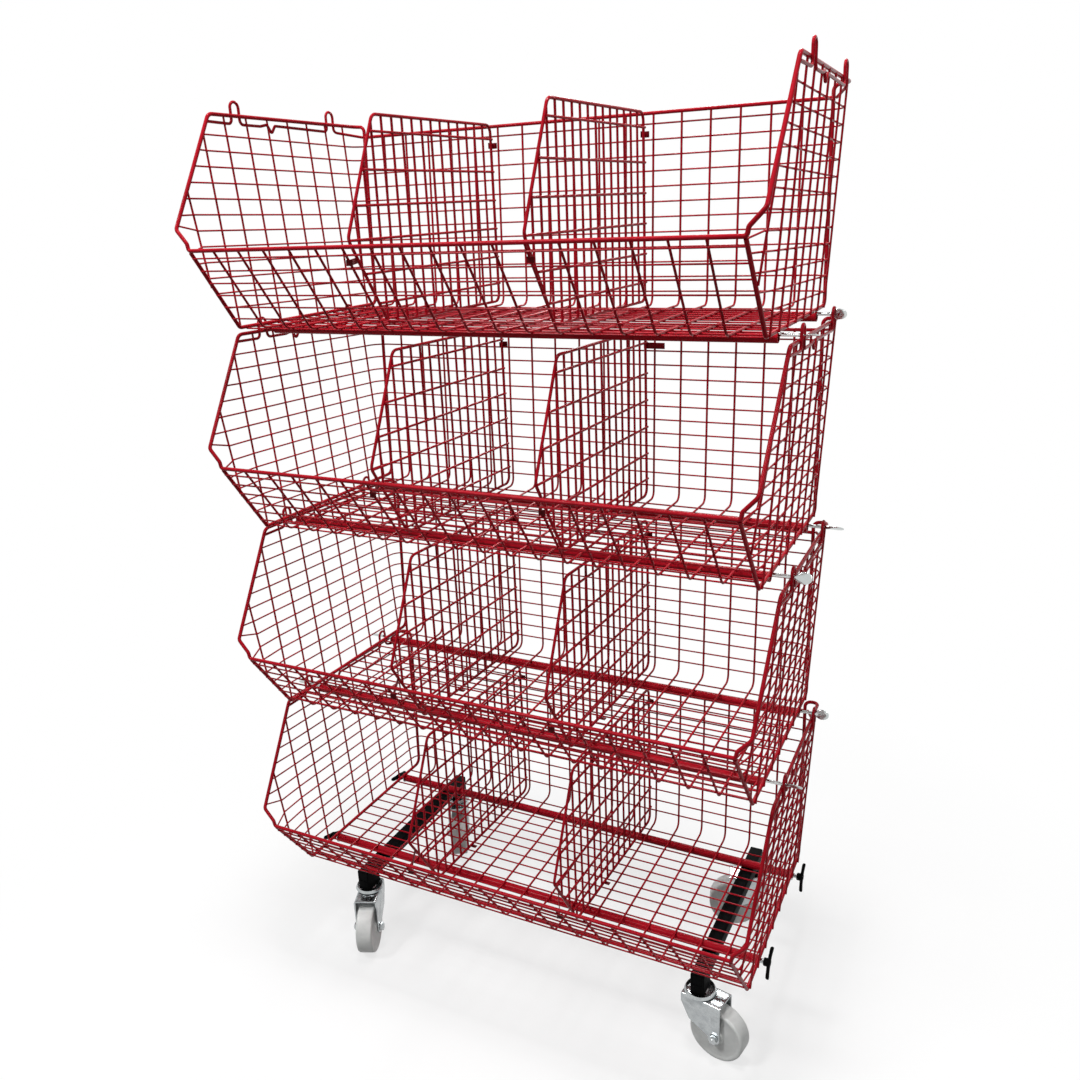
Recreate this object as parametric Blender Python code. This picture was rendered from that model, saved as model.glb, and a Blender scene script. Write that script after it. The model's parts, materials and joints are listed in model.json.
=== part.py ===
"""Mobile wire basket unit: four stacked wire baskets, locked by slide-in rods, on swivel castors.

Metres, +Z up, front towards -Y. The unit stands on z = 0, centred on the origin. In a basket's own
frame y runs back from the front edge of its floor and z runs up from the plane of its floor wires.
"""
import math

import bmesh
import bpy
from mathutils import Matrix, Vector
from mathutils.geometry import delaunay_2d_cdt

# Stack
TIERS = 4
GAP = 0.0003

# Basket outline
FLOOR_HALF_WIDTH = 0.453
TOP_HALF_WIDTH = 0.480
RAIL_HEIGHT = 0.341
TOP_SETBACK = 0.023
KNEE_REACH = 0.100
KNEE_HEIGHT = 0.142
LIP_HEIGHT = 0.131
BASKET_DEPTH = 0.388
BACK_LEAN = 0.014
BACK_RAIL_HEIGHT = 0.313
KNEE_RADIUS = 0.027
TOP_FRONT_RADIUS = 0.015
TOP_BACK_RADIUS = 0.025
FOOT_RADIUS = 0.012

# Wire work, drawn at a wide pitch
WIRE = 0.004
FRAME_ROD = 0.006
DIVIDER_ROD = 0.005
GRID_ACROSS = 0.150
GRID_DEEP = 0.110
GRID_HIGH = 0.110
SMALLEST_CELL = 0.030

# Cross tubes welded under each floor
TUBE_RADIUS = 0.008
BORE_RADIUS = 0.006
WELD_DEPTH = 0.0005
FRONT_TUBE_Y = 0.085
BACK_TUBE_INSET = 0.053

# Upright loops on the side rails
LOOP_WIRE = 0.005
LOOP_WIDTH = 0.017
LOOP_RISE = 0.025

# Locking rods
ROD_RADIUS = 0.004
ROD_OVERHANG = 0.025
PADDLE_LENGTH = 0.018
PADDLE_WIDTH = 0.020
PADDLE_THICKNESS = 0.003
PADDLE_DEGREES = {
    (1, "front"): 58.0, (1, "back"): -10.0,
    (2, "front"): -20.0, (2, "back"): 70.0,
    (3, "front"): 80.0, (3, "back"): 20.0,
}

# Dividers, a little askew because their tabs hook over wires that stand apart
DIVIDER_MIDDLES = {"left": -0.1635, "right": 0.1365}
DIVIDER_SKEW = 0.014
DIVIDER_TOP = 0.320
DIVIDER_TOP_FRONT = 0.043
DIVIDER_KNEE_REACH = 0.047
DIVIDER_KNEE_HEIGHT = 0.140
DIVIDER_FOOT_FRONT = 0.035
DIVIDER_BACK_ROOM = 0.008
DIVIDER_RADIUS = 0.014

# Castor bars
BAR_INSET = 0.101
BAR_SHIFT = 0.010
BAR_SIZE = 0.025
BAR_FRONT_Y = 0.015
BAR_BACK_OVERHANG = 0.017
LEG_LENGTH = 0.040
LEG_HEIGHT = 0.018

# Castors
WHEEL_RADIUS = 0.050
WHEEL_WIDTH = 0.032
WHEEL_CHAMFER = 0.004
HUB_RADIUS = 0.014
FORK_ROOM = 0.004
FORK_SHEET = 0.003
FORK_PLATE_Z = 0.118
FORK_TOP_HALF = 0.026
FORK_SHOULDER_Z = 0.101
FORK_WAIST_X = -0.010
FORK_WAIST_Z = 0.069
TRAIL = 0.038
AXLE_RADIUS = 0.005
AXLE_HEAD_RADIUS = 0.008
AXLE_HEAD_LENGTH = 0.008
KING_PIN_RADIUS = 0.006
KING_PIN_HEAD_RADIUS = 0.010
KING_PIN_HEAD_LENGTH = 0.004
DISH_RADIUS = 0.0285
DISH_FOOT_RADIUS = 0.026
DISH_SHEET = 0.002
HEAD_TOP_RADIUS = 0.012
CASTOR_HEIGHT = 0.122
RUNNING_CLEARANCE = 0.0004
SWIVEL_DEGREES = {
    ("left", "front"): -67.0, ("right", "front"): -10.0,
    ("left", "back"): -60.0, ("right", "back"): 195.0,
}

# Wing knobs on the tube ends of the lowest basket
KNOB_SPAN = 0.050
KNOB_WING_HEIGHT = 0.012
KNOB_THICKNESS = 0.005
KNOB_HUB_RADIUS = 0.009
KNOB_HUB_LENGTH = 0.012
STUD_REACH = 0.030
KNOB_CLEARANCE = 0.002
KNOB_DEGREES = {
    ("left", "front"): 70.0, ("right", "front"): -37.0,
    ("left", "back"): 80.0, ("right", "back"): -25.0,
}

SIDES = ("left", "right")
ARC_STEPS = 3
ROD_FACETS = 8
WHEEL_FACETS = 16

# Worked out from the sizes above
FLARE = math.atan2(TOP_HALF_WIDTH - FLOOR_HALF_WIDTH, RAIL_HEIGHT)
LEAN = math.atan2(BACK_LEAN, RAIL_HEIGHT)
LIP_TILT = math.atan2(KNEE_REACH, KNEE_HEIGHT)
BACK_TUBE_Y = BASKET_DEPTH - BACK_TUBE_INSET
ROWS = {"front": FRONT_TUBE_Y, "back": BACK_TUBE_Y}
TUBE_Z = WELD_DEPTH - WIRE / 2 - TUBE_RADIUS
RAIL_TOP = RAIL_HEIGHT + FRAME_ROD / 2 * math.cos(FLARE) + WIRE / 2 * math.sin(FLARE)
ROD_ABOVE_RAIL = RAIL_TOP + GAP + ROD_RADIUS
ROD_ABOVE_TUBE = BORE_RADIUS - ROD_RADIUS - GAP
PITCH = ROD_ABOVE_RAIL - ROD_ABOVE_TUBE - TUBE_Z
BAR_HALF_SPACING = FLOOR_HALF_WIDTH - BAR_INSET
BAR_BACK_Y = BASKET_DEPTH + BAR_BACK_OVERHANG
BAR_UNDER = CASTOR_HEIGHT + GAP + LEG_HEIGHT
FIRST_FLOOR = BAR_UNDER + BAR_SIZE + GAP + TUBE_RADIUS - TUBE_Z
SWIVEL_ROWS = {"front": BAR_FRONT_Y + LEG_LENGTH / 2, "back": BAR_BACK_Y - LEG_LENGTH / 2}


def outward(side):
    """Direction along X that points away from the middle on a side."""
    return -1.0 if side == "left" else 1.0


def bar_x(side):
    """Place of a castor bar along the tubes, where the pair sits a little off centre."""
    return outward(side) * BAR_HALF_SPACING + BAR_SHIFT


def clear_scene():
    for item in list(bpy.data.objects):
        bpy.data.objects.remove(item, do_unlink=True)


def finish_material(name, colour, roughness, metallic):
    material = bpy.data.materials.new(name)
    material.use_nodes = True
    shader = material.node_tree.nodes["Principled BSDF"]
    shader.inputs["Base Color"].default_value = (*colour, 1.0)
    shader.inputs["Roughness"].default_value = roughness
    shader.inputs["Metallic"].default_value = metallic
    return material


def empty(name, parent, place, turn=0.0):
    """Marker that carries a group of pieces; turn is in degrees about Z."""
    marker = bpy.data.objects.new(name, None)
    bpy.context.collection.objects.link(marker)
    marker.parent = parent
    marker.location = place
    marker.rotation_euler = (0.0, 0.0, math.radians(turn))
    return marker


def finish(name, bm, parent, matrix, material):
    """Turn a bmesh into a named object under its parent."""
    bmesh.ops.recalc_face_normals(bm, faces=bm.faces[:])
    mesh = bpy.data.meshes.new(name)
    bm.to_mesh(mesh)
    bm.free()
    mesh.shade_smooth()
    mesh.set_sharp_from_angle(angle=math.radians(40.0))
    mesh.materials.append(material)
    piece = bpy.data.objects.new(name, mesh)
    bpy.context.collection.objects.link(piece)
    piece.parent = parent
    piece.matrix_local = matrix
    return piece


def cut_or_join(piece, tool, operation):
    """Boolean with a hidden helper object."""
    tool.hide_render = True
    tool.display_type = "WIRE"
    modifier = piece.modifiers.new(tool.name, "BOOLEAN")
    modifier.operation = operation
    modifier.solver = "EXACT"
    modifier.object = tool


def panel_matrix(origin, across, up):
    """Matrix of a panel whose own X runs along across and whose own Y runs along up."""
    across = Vector(across).normalized()
    up = Vector(up).normalized()
    matrix = Matrix((across, up, across.cross(up))).transposed().to_4x4()
    matrix.translation = origin
    return matrix


def along_x(origin, turn=0.0):
    """Matrix that lays a turned piece's axis along X, rolled by turn degrees."""
    roll = Matrix.Rotation(math.radians(turn), 4, "X")
    return Matrix.Translation(origin) @ roll @ Matrix.Rotation(math.radians(90.0), 4, "Y")


def along_y(origin):
    """Matrix that lays a turned piece's axis along Y."""
    return Matrix.Translation(origin) @ Matrix.Rotation(math.radians(-90.0), 4, "X")


def ring_of(radius, height, facets, squash=1.0):
    """Polygon round Z with flats facing along X and Y; radius is measured to the flats."""
    corner = radius / math.cos(math.pi / facets)
    angles = [2 * math.pi * (index + 0.5) / facets for index in range(facets)]
    return [Vector((corner * math.cos(a), squash * corner * math.sin(a), height)) for a in angles]


def skin_rings(rings, closed):
    """Quads from ring to ring, with end caps, or closed round a bore."""
    bm = bmesh.new()
    loops = [[bm.verts.new(point) for point in ring] for ring in rings]
    pairs = list(zip(loops, loops[1:]))
    if closed:
        pairs.append((loops[-1], loops[0]))
    else:
        bm.faces.new(loops[0])
        bm.faces.new(loops[-1])
    for low, high in pairs:
        for index in range(len(low)):
            bm.faces.new((low[index - 1], low[index], high[index], high[index - 1]))
    return bm


def turned(profile, facets, closed=False):
    """Body of revolution round Z from (radius, height) points."""
    return skin_rings([ring_of(radius, height, facets) for radius, height in profile], closed)


def offset_polygon(points, distance):
    """Move every edge of a convex, anticlockwise outline outwards by distance."""
    lines = []
    for index, point in enumerate(points):
        start = Vector(point)
        run = (Vector(points[(index + 1) % len(points)]) - start).normalized()
        lines.append((start + distance * Vector((run.y, -run.x)), run))
    moved = []
    for index, (start, run) in enumerate(lines):
        before, before_run = lines[index - 1]
        reach = run.cross(start - before) / run.cross(before_run)
        moved.append(before + reach * before_run)
    return moved


def rounded_corners(points, radii):
    """Each corner of an outline as a short arc: a list of point lists, one per corner."""
    corners = []
    for index, (point, radius) in enumerate(zip(points, radii)):
        corner = Vector(point)
        back = (Vector(points[index - 1]) - corner).normalized()
        ahead = (Vector(points[(index + 1) % len(points)]) - corner).normalized()
        half = back.angle(ahead) / 2
        centre = corner + (back + ahead).normalized() * radius / math.sin(half)
        first = (corner + back * radius / math.tan(half)) - centre
        sweep = math.pi - 2 * half
        corners.append([centre + Matrix.Rotation(sweep * step / ARC_STEPS, 2) @ first
                        for step in range(ARC_STEPS + 1)])
    return corners


def clip_to_convex(polygon, clip):
    """Part of a polygon that lies inside a convex, anticlockwise outline."""
    for index, end in enumerate(clip):
        start = clip[index - 1]
        run = end - start
        kept = []
        for place, point in enumerate(polygon):
            before = polygon[place - 1]
            side, side_before = run.cross(point - start), run.cross(before - start)
            if side * side_before < 0.0:
                kept.append(before.lerp(point, side_before / (side_before - side)))
            if side >= 0.0:
                kept.append(point)
        polygon = kept
    return polygon


def polygon_area(points):
    return 0.5 * sum(points[index - 1].cross(point) for index, point in enumerate(points))


def grid_lines(low, high, pitch):
    """Wire centres at the given pitch, centred between two borders, with the borders at the ends."""
    count = max(1, round((high - low) / pitch))
    return [low + (high - low) * step / count for step in range(count + 1)]


def mesh_cells(inner, pitch_across, pitch_up):
    """Openings between the wires of a panel, trimmed to the inside of its border."""
    low = Vector((min(p.x for p in inner), min(p.y for p in inner)))
    high = Vector((max(p.x for p in inner), max(p.y for p in inner)))
    across = grid_lines(low.x, high.x, pitch_across)
    upward = grid_lines(low.y, high.y, pitch_up)
    cells = []
    for left, right in zip(across, across[1:]):
        for bottom, top in zip(upward, upward[1:]):
            lead = WIRE / 2 if left > low.x else 0.0
            tail = WIRE / 2 if right < high.x else 0.0
            foot = WIRE / 2 if bottom > low.y else 0.0
            head = WIRE / 2 if top < high.y else 0.0
            box = [Vector((left + lead, bottom + foot)), Vector((right - tail, bottom + foot)),
                   Vector((right - tail, top - head)), Vector((left + lead, top - head))]
            cell = clip_to_convex(box, inner)
            if len(cell) > 2 and polygon_area(cell) > SMALLEST_CELL ** 2:
                cells.append(cell)
    return cells


def flat_panel(outline, holes, thickness):
    """Filled outline with convex openings, thickened evenly about its own plane."""
    points, edges, owners = [], [], []
    for owner, loop in enumerate([outline] + holes):
        first = len(points)
        points += loop
        owners += [owner] * len(loop)
        edges += [(first + index, first + (index + 1) % len(loop)) for index in range(len(loop))]
    inside, nearness = 1, 1.0e-6
    places, _, triangles, sources, *_ = delaunay_2d_cdt(points, edges, [], inside, nearness)
    bm = bmesh.new()
    verts = [bm.verts.new((point.x, point.y, -thickness / 2)) for point in places]
    for corners in triangles:
        loops = {owners[sources[corner][0]] for corner in corners}
        if len(loops) > 1 or loops == {0}:
            bm.faces.new([verts[corner] for corner in corners])
    lifted = bmesh.ops.extrude_face_region(bm, geom=bm.faces[:])["geom"]
    corners = [item for item in lifted if isinstance(item, bmesh.types.BMVert)]
    bmesh.ops.translate(bm, vec=(0.0, 0.0, thickness), verts=corners)
    return bm


def prism(outline, low, high):
    """Outline in X and Z, drawn out along Y from low to high."""
    return skin_rings([[Vector((x, y, z)) for x, z in outline] for y in (low, high)], False)


def side_inner_x(height):
    """Half width between the inner faces of the two sides at a height."""
    return FLOOR_HALF_WIDTH + height * math.tan(FLARE) - WIRE / 2 / math.cos(FLARE)


def panel_half_width(height):
    """Half width of a panel that fits between the sides."""
    return side_inner_x(height) - GAP - WIRE / 2 * abs(math.tan(FLARE))


def make_floor(tier, parent, material):
    """Floor mesh with the two cross tubes welded under it."""
    half = panel_half_width(-WIRE / 2)
    front = WIRE / 2 * math.cos(LIP_TILT) + GAP
    back = BASKET_DEPTH - WIRE / 2 / math.cos(LEAN) - WIRE / 2 * math.tan(LEAN) - GAP
    outline = [Vector(p) for p in ((-half, front), (half, front), (half, back), (-half, back))]
    cells = mesh_cells(offset_polygon(outline, -WIRE), GRID_ACROSS, GRID_DEEP)
    floor = finish(f"basket{tier}_floor", flat_panel(outline, cells, WIRE), parent,
                   Matrix.Identity(4), material)
    tube_half = panel_half_width(-FRAME_ROD / 2 - GAP)
    profile = [(TUBE_RADIUS, -tube_half), (TUBE_RADIUS, tube_half),
               (BORE_RADIUS, tube_half), (BORE_RADIUS, -tube_half)]
    for row, y in ROWS.items():
        tube = finish(f"basket{tier}_{row}_tube_guide", turned(profile, ROD_FACETS, closed=True),
                      parent, along_x((0.0, y, TUBE_Z)), material)
        cut_or_join(floor, tube, "UNION")


def make_standing_panel(name, parent, foot, tilt, top, material):
    """Lip or back: a mesh panel between the sides, rising from foot to height top at a tilt."""
    rise = Vector((0.0, math.sin(tilt), math.cos(tilt)))
    reach = top / rise.z
    low, high = panel_half_width(0.0), panel_half_width(top)
    outline = [Vector(p) for p in ((-low, 0.0), (low, 0.0), (high, reach), (-high, reach))]
    cells = mesh_cells(offset_polygon(outline, -FRAME_ROD), GRID_ACROSS, GRID_HIGH)
    finish(name, flat_panel(outline, cells, WIRE), parent,
           panel_matrix((0.0, foot, 0.0), (1.0, 0.0, 0.0), rise), material)


def loop_points(centre, spring, rail_top, radius):
    """Inverted U on the rail, from its back foot over to its front foot."""
    arch = [Vector((centre + radius * math.cos(math.pi * step / (2 * ARC_STEPS)),
                    spring + radius * math.sin(math.pi * step / (2 * ARC_STEPS))))
            for step in range(2 * ARC_STEPS + 1)]
    return [Vector((centre + radius, rail_top))] + arch + [Vector((centre - radius, rail_top))]


def make_side(tier, side, parent, material):
    """Side panel: rod outline, mesh, and two upright loops that take the locking rods."""
    slope = 1.0 / math.cos(FLARE)
    top = RAIL_HEIGHT * slope
    corners = [(0.0, 0.0), (BASKET_DEPTH, 0.0), (BASKET_DEPTH + BACK_LEAN, top),
               (TOP_SETBACK, top), (-KNEE_REACH, KNEE_HEIGHT * slope)]
    radii = [FOOT_RADIUS, FOOT_RADIUS, TOP_BACK_RADIUS, TOP_FRONT_RADIUS, KNEE_RADIUS]
    half_rod = FRAME_ROD / 2
    outer = rounded_corners(offset_polygon(corners, half_rod), [radius + half_rod for radius in radii])
    inner = rounded_corners(offset_polygon(corners, -half_rod), [radius - half_rod for radius in radii])
    cells = mesh_cells(sum(inner, []), GRID_DEEP, GRID_HIGH)
    rail_top = top + half_rod
    outer_radius = LOOP_WIDTH / 2 + LOOP_WIRE
    spring = top + LOOP_RISE - outer_radius
    loops = [loop_points(y, spring, rail_top, outer_radius) for y in (BACK_TUBE_Y, FRONT_TUBE_Y)]
    cells += [loop_points(y, spring, rail_top, LOOP_WIDTH / 2) for y in ROWS.values()]
    outline = outer[0] + outer[1] + outer[2] + loops[0] + loops[1] + outer[3] + outer[4]
    up = (outward(side) * math.sin(FLARE), 0.0, math.cos(FLARE))
    finish(f"basket{tier}_{side}_side", flat_panel(outline, cells, WIRE), parent,
           panel_matrix((outward(side) * FLOOR_HALF_WIDTH, 0.0, 0.0), (0.0, 1.0, 0.0), up), material)


def make_divider(tier, side, parent, material):
    """Upright divider standing on the floor wires, with the profile of the basket's sides."""
    foot = WIRE / 2 + GAP
    back = BASKET_DEPTH - DIVIDER_BACK_ROOM
    corners = [(DIVIDER_FOOT_FRONT, foot), (back, foot), (back, DIVIDER_TOP),
               (DIVIDER_TOP_FRONT, DIVIDER_TOP), (-DIVIDER_KNEE_REACH, DIVIDER_KNEE_HEIGHT)]
    outline = rounded_corners(corners, [DIVIDER_RADIUS] * len(corners))
    inner_radii = [DIVIDER_RADIUS - DIVIDER_ROD] * len(corners)
    inner = rounded_corners(offset_polygon(corners, -DIVIDER_ROD), inner_radii)
    cells = mesh_cells(sum(inner, []), GRID_DEEP, GRID_HIGH)
    middle = (back - DIVIDER_KNEE_REACH) / 2
    across = Vector((DIVIDER_SKEW, back + DIVIDER_KNEE_REACH, 0.0)).normalized()
    origin = Vector((DIVIDER_MIDDLES[side], middle, 0.0)) - middle * across
    finish(f"basket{tier}_{side}_divider", flat_panel(sum(outline, []), cells, WIRE), parent,
           panel_matrix(origin, across, (0.0, 0.0, 1.0)), material)


def make_locking_rod(tier, row, parent, material):
    """Bright rod through the lower basket's loops and the upper basket's tube, with a flat paddle."""
    end = TOP_HALF_WIDTH + ROD_OVERHANG
    neck = end - PADDLE_LENGTH
    flat = PADDLE_THICKNESS / PADDLE_WIDTH
    flats = ROD_RADIUS * math.cos(math.pi / ROD_FACETS)
    shank = ((flats / 2, -end), (flats, flats - end), (flats, neck))
    rings = [ring_of(radius, place, ROD_FACETS) for radius, place in shank]
    for share, width in ((0.3, 0.9), (0.7, 1.0), (1.0, 0.5)):
        place = neck + share * PADDLE_LENGTH
        rings.append(ring_of(PADDLE_WIDTH / 2 * width, place, ROD_FACETS, flat / width))
    finish(f"locking_rod{tier}_{row}", skin_rings(rings, False), parent,
           along_x((0.0, ROWS[row], ROD_ABOVE_RAIL), PADDLE_DEGREES[tier, row]), material)


def make_bar(side, parent, material):
    """Square bar under both tubes, with a short leg at each end for the castor."""
    low, high = BAR_UNDER - LEG_HEIGHT, BAR_UNDER + BAR_SIZE
    leg_back, leg_front = BAR_BACK_Y - LEG_LENGTH, BAR_FRONT_Y + LEG_LENGTH
    outline = [(BAR_FRONT_Y, low), (leg_front, low), (leg_front, BAR_UNDER), (leg_back, BAR_UNDER),
               (leg_back, low), (BAR_BACK_Y, low), (BAR_BACK_Y, high), (BAR_FRONT_Y, high)]
    place = Matrix.Translation((bar_x(side), 0.0, 0.0))
    finish(f"castor_bar_{side}", prism(outline, -BAR_SIZE / 2, BAR_SIZE / 2), parent,
           place @ Matrix.Rotation(math.pi / 2, 4, "Z"), material)


def make_castor_head(name, parent, material):
    """Fixed swivel head: king pin and an open dish, clamped under the bar's leg."""
    under_plate = FORK_PLATE_Z - FORK_SHEET - RUNNING_CLEARANCE
    dish_low = FORK_PLATE_Z + RUNNING_CLEARANCE
    dish_floor, rim = dish_low + DISH_SHEET, CASTOR_HEIGHT - GAP
    profile = [(KING_PIN_HEAD_RADIUS, under_plate - KING_PIN_HEAD_LENGTH),
               (KING_PIN_HEAD_RADIUS, under_plate), (KING_PIN_RADIUS, under_plate),
               (KING_PIN_RADIUS, dish_low), (DISH_FOOT_RADIUS, dish_low), (DISH_RADIUS, rim),
               (DISH_RADIUS - DISH_SHEET, rim), (DISH_FOOT_RADIUS - DISH_SHEET, dish_floor),
               (HEAD_TOP_RADIUS, dish_floor), (HEAD_TOP_RADIUS, CASTOR_HEIGHT)]
    finish(name, turned(profile, ROD_FACETS), parent, Matrix.Identity(4), material)


def make_fork(name, parent, material):
    """Pressed steel fork: a top plate and two legs that trail to the axle."""
    inner = WHEEL_WIDTH / 2 + FORK_ROOM
    outer = inner + FORK_SHEET
    eye = AXLE_HEAD_RADIUS + FORK_SHEET
    outline = [(-FORK_TOP_HALF, FORK_PLATE_Z), (-FORK_TOP_HALF, FORK_SHOULDER_Z),
               (FORK_WAIST_X, FORK_WAIST_Z), (TRAIL - eye, WHEEL_RADIUS),
               (TRAIL - eye / 2, WHEEL_RADIUS - eye), (TRAIL + eye / 2, WHEEL_RADIUS - eye),
               (TRAIL + eye, WHEEL_RADIUS), (TRAIL + eye, FORK_PLATE_Z)]
    fork = finish(name, prism(outline, -outer, outer), parent, Matrix.Identity(4), material)
    reach = TRAIL + eye + FORK_TOP_HALF
    ceiling = FORK_PLATE_Z - FORK_SHEET
    room = [(-reach, 0.0), (reach, 0.0), (reach, ceiling), (-reach, ceiling)]
    slot = finish(f"{name}_slot_cutter", prism(room, -inner, inner), parent, Matrix.Identity(4), material)
    cut_or_join(fork, slot, "DIFFERENCE")
    bore = [(AXLE_RADIUS + RUNNING_CLEARANCE, -2 * outer), (AXLE_RADIUS + RUNNING_CLEARANCE, 2 * outer)]
    axle_hole = finish(f"{name}_axle_cutter", turned(bore, ROD_FACETS), parent,
                       along_y((TRAIL, 0.0, WHEEL_RADIUS)), material)
    cut_or_join(fork, axle_hole, "DIFFERENCE")
    pin_radius = KING_PIN_RADIUS / math.cos(math.pi / ROD_FACETS) + RUNNING_CLEARANCE
    pin = [(pin_radius, FORK_PLATE_Z - 2 * FORK_SHEET), (pin_radius, FORK_PLATE_Z + FORK_SHEET)]
    pin_hole = finish(f"{name}_pin_cutter", turned(pin, ROD_FACETS), parent,
                      Matrix.Identity(4), material)
    cut_or_join(fork, pin_hole, "DIFFERENCE")


def make_axle(name, parent, material):
    """Axle bolt with its head and nut outside the fork's legs."""
    seat = WHEEL_WIDTH / 2 + FORK_ROOM + FORK_SHEET + GAP
    tip = seat + AXLE_HEAD_LENGTH
    profile = [(AXLE_HEAD_RADIUS, -tip), (AXLE_HEAD_RADIUS, -seat), (AXLE_RADIUS, -seat),
               (AXLE_RADIUS, seat), (AXLE_HEAD_RADIUS, seat), (AXLE_HEAD_RADIUS, tip)]
    finish(name, turned(profile, ROD_FACETS), parent, along_y((TRAIL, 0.0, WHEEL_RADIUS)), material)


def make_wheel(name, parent, material):
    """Solid nylon wheel with a hub boss on each face and a chamfered tread."""
    half, shoulder = WHEEL_WIDTH / 2, WHEEL_RADIUS - WHEEL_CHAMFER
    hub = half + FORK_ROOM - 2 * RUNNING_CLEARANCE
    bore = AXLE_RADIUS / math.cos(math.pi / ROD_FACETS) + RUNNING_CLEARANCE
    profile = [(bore, -hub), (HUB_RADIUS, -hub), (HUB_RADIUS, -half), (shoulder, -half),
               (WHEEL_RADIUS, WHEEL_CHAMFER - half), (WHEEL_RADIUS, half - WHEEL_CHAMFER),
               (shoulder, half), (HUB_RADIUS, half), (HUB_RADIUS, hub), (bore, hub)]
    finish(name, turned(profile, WHEEL_FACETS, closed=True), parent,
           along_y((TRAIL, 0.0, WHEEL_RADIUS)), material)


def make_knob(side, row, parent, material):
    """Two-winged clamping knob whose stud screws into the tube end."""
    hub_start = FLOOR_HALF_WIDTH + WIRE / 2 + KNOB_SPAN / 2 * math.tan(FLARE) + KNOB_CLEARANCE
    stud_tip = panel_half_width(0.0) - STUD_REACH
    stud_radius = (BORE_RADIUS - RUNNING_CLEARANCE) * math.cos(math.pi / ROD_FACETS)
    profile = [(stud_radius, stud_tip), (stud_radius, hub_start), (KNOB_HUB_RADIUS, hub_start),
               (KNOB_HUB_RADIUS, hub_start + KNOB_HUB_LENGTH)]
    roll = Matrix.Rotation(math.radians(KNOB_DEGREES[side, row]), 4, "X")
    axis = Matrix.Translation((0.0, ROWS[row], TUBE_Z)) @ roll
    if outward(side) < 0.0:
        axis = axis @ Matrix.Rotation(math.pi, 4, "Z")
    knob = finish(f"wing_knob_{row}_{side}", turned(profile, ROD_FACETS), parent,
                  axis @ Matrix.Rotation(math.pi / 2, 4, "Y"), material)
    wing_low = hub_start + KNOB_HUB_LENGTH - KNOB_THICKNESS
    wing_high = wing_low + KNOB_THICKNESS + KNOB_CLEARANCE
    half, waist = KNOB_SPAN / 2, KNOB_WING_HEIGHT / 2
    outline = [(wing_low, -half), (wing_high, -half), (wing_high, half), (wing_low, half)]
    wings = finish(f"wing_knob_{row}_{side}_guide", prism(outline, -waist, waist), parent, axis, material)
    cut_or_join(knob, wings, "UNION")


def make_basket(tier, unit, red):
    datum = empty(f"basket{tier}_datum", unit, (0.0, 0.0, FIRST_FLOOR + (tier - 1) * PITCH))
    make_floor(tier, datum, red)
    make_standing_panel(f"basket{tier}_lip", datum, 0.0, -LIP_TILT, LIP_HEIGHT, red)
    make_standing_panel(f"basket{tier}_back", datum, BASKET_DEPTH, LEAN, BACK_RAIL_HEIGHT, red)
    for side in SIDES:
        make_side(tier, side, datum, red)
        make_divider(tier, side, datum, red)
    return datum


def make_castor(side, row, unit, zinc, nylon):
    name = f"castor_{row}_{side}"
    place = (bar_x(side), SWIVEL_ROWS[row], 0.0)
    swivel = empty(f"{name}_swivel", unit, place, SWIVEL_DEGREES[side, row])
    make_castor_head(f"{name}_head", swivel, zinc)
    make_fork(f"{name}_fork", swivel, zinc)
    make_axle(f"{name}_axle", swivel, zinc)
    make_wheel(f"{name}_wheel", swivel, nylon)


def centre_unit(unit):
    """Move the whole unit along Y until its bounding box is centred on the origin."""
    bpy.context.view_layer.update()
    depths = [(item.matrix_world @ vertex.co).y
              for item in bpy.data.objects if item.type == "MESH" and not item.hide_render
              for vertex in item.data.vertices]
    unit.location.y = -(min(depths) + max(depths)) / 2


def build_unit():
    clear_scene()
    red = finish_material("red_powder_coat", (0.42, 0.012, 0.022), 0.35, 0.0)
    chrome = finish_material("bright_chrome", (0.80, 0.80, 0.82), 0.12, 1.0)
    black = finish_material("black_enamel", (0.010, 0.010, 0.011), 0.40, 0.0)
    zinc = finish_material("zinc_plate", (0.62, 0.64, 0.66), 0.30, 1.0)
    nylon = finish_material("white_nylon", (0.62, 0.65, 0.64), 0.45, 0.0)
    plastic = finish_material("black_plastic", (0.014, 0.014, 0.015), 0.50, 0.0)
    unit = empty("unit", None, (0.0, 0.0, 0.0))
    for tier in range(1, TIERS + 1):
        datum = make_basket(tier, unit, red)
        if tier < TIERS:
            for row in ROWS:
                make_locking_rod(tier, row, datum, chrome)
        if tier == 1:
            for row in ROWS:
                for side in SIDES:
                    make_knob(side, row, datum, plastic)
    for side in SIDES:
        make_bar(side, unit, black)
        for row in SWIVEL_ROWS:
            make_castor(side, row, unit, zinc, nylon)
    centre_unit(unit)


build_unit()
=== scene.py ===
"""Mobile wire basket unit: four stacked red wire baskets on castors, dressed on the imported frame."""
import json
import math

import bmesh
import bpy
from mathutils import Matrix, Vector


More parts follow.
